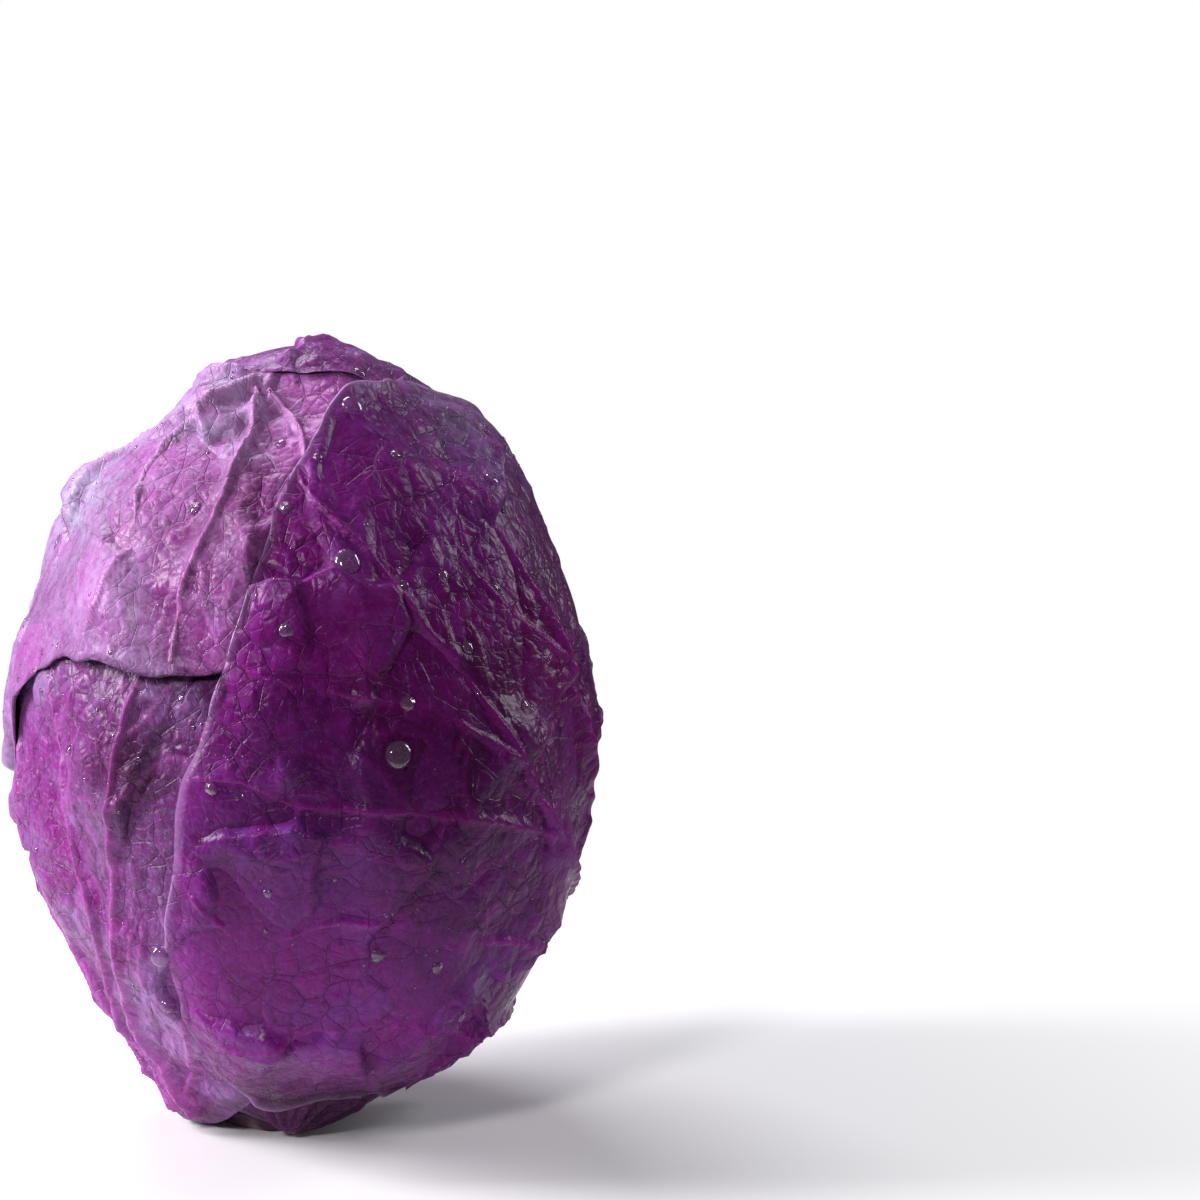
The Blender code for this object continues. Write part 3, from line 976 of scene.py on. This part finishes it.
def stem_material():
    made, tree, shader = new_material("cut_stem")
    place = add(tree, "ShaderNodeTexCoord").outputs["Object"]
    fibres = noise_texture(tree, place, 900.0, 4.0, 0.7)
    patches = noise_texture(tree, place, 140.0, 3.0)
    colour = mixed(tree, ranged(tree, patches, 0.35, 0.65), (0.62, 0.47, 0.40), (0.50, 0.27, 0.36))
    colour = mixed(tree, ranged(tree, fibres, 0.5, 0.72, 0.0, 0.7), colour, (0.30, 0.17, 0.15))
    # the stem's side skin: its own purple, darkened further as painted shade
    colour = mixed(tree, attribute(tree, "skin"), colour, (0.055, 0.012, 0.045))
    tree.links.new(colour, shader.inputs["Base Color"])
    shader.inputs["Roughness"].default_value = 0.62
    bump = add(tree, "ShaderNodeBump", {"Strength": 0.6, "Distance": 0.0004, "Height": fibres})
    tree.links.new(bump.outputs[0], shader.inputs["Normal"])
    return made


def build_stem():
    """A cut stem: a flat, slightly fibrous face and a ridged side that runs up into the leaves."""
    around = 180
    profile = (
        (0.0, 0.10), (4.0, 0.12), (8.0, 0.05), (11.5, 0.0), (13.8, 0.0), (14.8, 0.25), (15.1, 1.2),
        (15.3, 2.4), (16.0, 3.6), (15.6, 4.3), (8.0, 4.4), (0.0, 4.4),
    )
    turn = np.arange(around) / around * tau
    rows = []
    wave = 0.35 * np.cos(turn * 7 + 1) + 0.25 * np.cos(turn * 12 + 2)
    for radius, height in profile[1:-1]:
        spread = radius + wave * (radius / 15) - 0.35
        level = np.full(around, height)
        rows.append(np.column_stack([np.sin(turn) * spread, -np.cos(turn) * spread, level]))
    ring = np.concatenate([*rows, [(0, 0, profile[0][1])], [(0, 0, profile[-1][1])]])
    index = np.arange(around)
    after = (index + 1) % around
    faces = []
    for row in range(len(rows) - 1):
        low, high = row * around, (row + 1) * around
        faces += np.column_stack([low + index, low + after, high + after, high + index]).tolist()
    tip, top = len(ring) - 2, len(ring) - 1
    last = (len(rows) - 1) * around
    faces += [[tip, int(b), int(a)] for a, b in zip(index, after)]
    faces += [[top, last + int(a), last + int(b)] for a, b in zip(index, after)]
    mesh = bpy.data.meshes.new("stem_cut")
    points = ring * MM + np.array([STEM_MIDDLE[0], STEM_MIDDLE[1], STEM_BOX[0][2]])
    mesh.from_pydata(points.tolist(), [], faces)
    paint(mesh, "skin", smooth(np.hypot(ring[:, 0], ring[:, 1]), 13.6, 14.8))
    mesh.shade_smooth()
    made = put("stem_cut", mesh)
    made.data.materials.append(stem_material())
    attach(made, "root")
    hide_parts("stem_butt")


def water_material():
    made, tree, shader = new_material("water")
    place = add(tree, "ShaderNodeTexCoord").outputs["Object"]
    ripple = noise_texture(tree, place, 400.0, 1.0)
    rough = ranged(tree, ripple, 0.3, 0.7, 0.0, 0.03)
    tree.links.new(rough, shader.inputs["Roughness"])
    shader.inputs["Base Color"].default_value = (0.86, 0.50, 0.90, 1)
    shader.inputs["Transmission Weight"].default_value = 0.93
    shader.inputs["Specular IOR Level"].default_value = 1.0
    shader.inputs["Coat Weight"].default_value = 1.0
    shader.inputs["Coat Roughness"].default_value = 0.02
    shader.inputs["IOR"].default_value = 1.33
    return made


# Larger water drops: azimuth, elevation, radius in mm
DROPS = (
    (21, 63, 2.3), (9, 33, 2.6), (17, 6, 2.7), (-33, -24, 2.2), (56, 76, 1.4), (-5, 43, 1.3),
    (62, 44, 1.6), (-33, 44, 1.4), (-4, 23, 1.5), (-55, 4, 1.3), (14, -24, 1.6), (28, -27, 1.2),
    (36, 20, 1.3), (20, 13, 1.5), (-18, 2, 1.3), (-26, 14, 1.1), (-35, -33, 1.6), (33, 31, 1.3),
    (22, 30, 1.0), (48, 28, 1.2), (-10, 60, 1.2), (4, 52, 1.0), (40, -38, 1.2), (-46, -34, 1.1),
    (-8, -12, 1.0), (30, 52, 1.1), (50, 10, 1.1), (150, 30, 2.0), (120, 10, 1.6), (-150, 40, 2.1),
    (170, -5, 1.5), (-120, 20, 1.8), (100, 40, 1.4), (-170, 62, 1.3), (-95, 30, 1.5), (110, -20, 1.4),
    (-135, -12, 1.6),
)
SMALL_DROPS = 750
DROP_SCALE = 1.15
LARGE_DROP = 0.0008  # metres; larger ones have a finer mesh


def build_drops(skins):
    """Water beads that sit on the outermost skin, each a low dome with a rounded foot."""
    graph = bpy.context.evaluated_depsgraph_get()
    trees = [BVHTree.FromObject(skin, graph) for skin in skins]
    rng = np.random.default_rng(77)
    drops = list(DROPS)
    while len(drops) < len(DROPS) + SMALL_DROPS:
        z = rng.uniform(-0.8, 1)
        ray_azimuth = rng.uniform(-180, 180)
        ray_elevation = np.degrees(np.arcsin(z))
        clustered = 0.5 + 0.5 * noise(direction(ray_azimuth, ray_elevation)[None] * 70, 24, 90)[0]
        if rng.random() < clustered**2 * 1.3:
            drops.append((ray_azimuth, ray_elevation, 0.20 + 0.42 * rng.random() ** 3))
    points, faces = [], []
    for azimuth, elevation, radius in drops:
        ray = Vector(direction(azimuth, elevation) * SEMI_AXES).normalized()
        start = Vector(CENTRE) + ray * 0.2
        hits = [tree.ray_cast(start, -ray, 0.2) for tree in trees]
        hits = [hit for hit in hits if hit[0] is not None]
        if not hits:
            continue
        place, normal = min(hits, key=lambda hit: hit[3])[:2]
        add_drop(points, faces, rng, place, normal, radius * MM * DROP_SCALE)
    mesh = bpy.data.meshes.new("water_drops")
    mesh.from_pydata(points, [], faces)
    mesh.shade_smooth()
    made = put("water_drops", mesh)
    made.data.materials.append(water_material())
    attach(made, "root")


def add_drop(points, faces, rng, place, normal, radius):
    around, levels = (20, 6) if radius > LARGE_DROP else (8, 3)
    side = normal.orthogonal().normalized()
    down = Vector((0, 0, -1)) + normal * normal.z
    if down.length > 0.2:
        side = down.normalized()
    other = normal.cross(side)
    tall = radius * rng.uniform(0.55, 0.72)
    stretch = 1 + 0.18 * rng.random()
    lobes = rng.uniform(0, 0.09, 2)
    phase = rng.uniform(0, tau, 2)
    first = len(points)
    for level in range(levels):
        lift = sin(level / levels * pi / 2)
        size = cos(level / levels * pi / 2) ** 0.85
        for step in range(around):
            turn = step / around * tau
            wave = 1 + lobes[0] * cos(2 * turn + phase[0]) + lobes[1] * cos(3 * turn + phase[1])
            reach = radius * size * wave
            spot = side * (cos(turn) * reach * stretch + radius * 0.12 * lift) + other * (sin(turn) * reach)
            points.append(tuple(place + spot + normal * (tall * lift - radius * 0.12)))
    points.append(tuple(place + side * radius * 0.12 + normal * (tall - radius * 0.12)))
    points.append(tuple(place - normal * radius * 0.25))
    top, foot = len(points) - 2, len(points) - 1
    for level in range(levels - 1):
        for step in range(around):
            a = first + level * around + step
            b = first + level * around + (step + 1) % around
            faces.append((a, b, b + around, a + around))
    last = first + (levels - 1) * around
    for step in range(around):
        faces.append((last + step, last + (step + 1) % around, top))
        faces.append((first + (step + 1) % around, first + step, foot))


def aim(piece, target):
    piece.rotation_euler = (Vector(target) - piece.location).to_track_quat("-Z", "Y").to_euler()


# Camera: how far it stands from the head, how high it looks down from, and how much it takes in there
CAMERA_DISTANCE = 0.95
CAMERA_ELEVATION = 13.0
FRAME_WIDTH = 0.2923
AIM_RIGHT = 0.0714
AIM_UP = 0.0322


def add_camera():
    head = Vector((CENTRE[0], CENTRE[1], cad_box_middle()[2]))
    tilt = radians(CAMERA_ELEVATION)
    data = bpy.data.cameras.new("camera")
    made = put("camera", data)
    made.location = head + Vector((0, -cos(tilt), sin(tilt))) * CAMERA_DISTANCE
    aim(made, head + Vector((AIM_RIGHT, 0, 0)) + Vector((0, sin(tilt), cos(tilt))) * AIM_UP)
    data.sensor_width = 36
    data.lens = 36 * CAMERA_DISTANCE / FRAME_WIDTH
    data.clip_start = 0.01
    bpy.context.scene.camera = made


def cad_box_middle():
    return (np.array(cad_box[0]) + np.array(cad_box[1])) / 2


# Softboxes: place, width, height, watts, colour
LIGHTS = (
    ("key_left", (-0.90, 0.02, 0.52), 0.26, 0.60, 16.0, (1.0, 0.98, 1.0)),
    ("top_back", (-0.20, 0.45, 0.85), 0.50, 0.35, 5.0, (0.97, 0.97, 1.0)),
    ("back_right", (0.75, 0.25, 0.45), 0.20, 0.60, 3.2, (0.95, 0.96, 1.0)),
    ("front_left", (-0.50, -0.95, 0.75), 0.20, 0.20, 6.0, (1.0, 0.97, 0.99)),
)


def add_lights():
    for name, place, width, height, watts, colour in LIGHTS:
        data = bpy.data.lights.new(name, "AREA")
        data.shape = "RECTANGLE"
        data.size = width
        data.size_y = height
        data.energy = watts
        data.color = colour
        made = put(name, data)
        made.location = place
        aim(made, (0, 0, 0.09))
    world = bpy.data.worlds.new("studio")
    bpy.context.scene.world = world
    world.use_nodes = True
    tree = world.node_tree
    seen = add(tree, "ShaderNodeLightPath").outputs["Is Camera Ray"]
    strength = ranged(tree, seen, 0.0, 1.0, 0.07, 1.0)
    background = tree.nodes["Background"]
    background.inputs["Color"].default_value = (1, 1, 1, 1)
    tree.links.new(strength, background.inputs["Strength"])
    bpy.context.scene.view_settings.view_transform = "Standard"


FLOOR_RADIUS = 0.42


def add_floor():
    """A pale floor that fades out into the white behind it."""
    bm = bmesh.new()
    bmesh.ops.create_circle(bm, cap_ends=True, segments=96, radius=FLOOR_RADIUS)
    mesh = bpy.data.meshes.new("floor")
    bm.to_mesh(mesh)
    bm.free()
    made = put("floor", mesh)
    made.location.z = cad_box[0][2]
    finish, tree, shader = new_material("floor")
    place = add(tree, "ShaderNodeTexCoord").outputs["Object"]
    shade = noise_texture(tree, place, 3.0)
    tree.links.new(mixed(tree, shade, (0.90, 0.90, 0.91), (0.93, 0.93, 0.93)), shader.inputs["Base Color"])
    shader.inputs["Roughness"].default_value = 0.8
    away = add(tree, "ShaderNodeVectorMath", {0: place}, operation="LENGTH").outputs["Value"]
    tree.links.new(ranged(tree, away, 0.10, FLOOR_RADIUS * 0.9, 1.0, 0.0), shader.inputs["Alpha"])
    made.data.materials.append(finish)
    made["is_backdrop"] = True


def plain(box):
    return [[float(number) for number in corner] for corner in box]


add_camera()
add_lights()
add_floor()
finishes = {look: leaf_material("leaf_" + look, **sizes) for look, sizes in LOOKS.items()}
skins = []
for number, leaf in enumerate(LEAVES):
    skins.append(build_leaf(leaf, LEAVES[:number], LEAVES[number + 1 :], finishes[leaf.look]))
build_inner_head()
build_stem()
bpy.context.view_layer.update()
build_drops(skins)
{"cad": plain(cad_box), "visual": plain(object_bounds())}
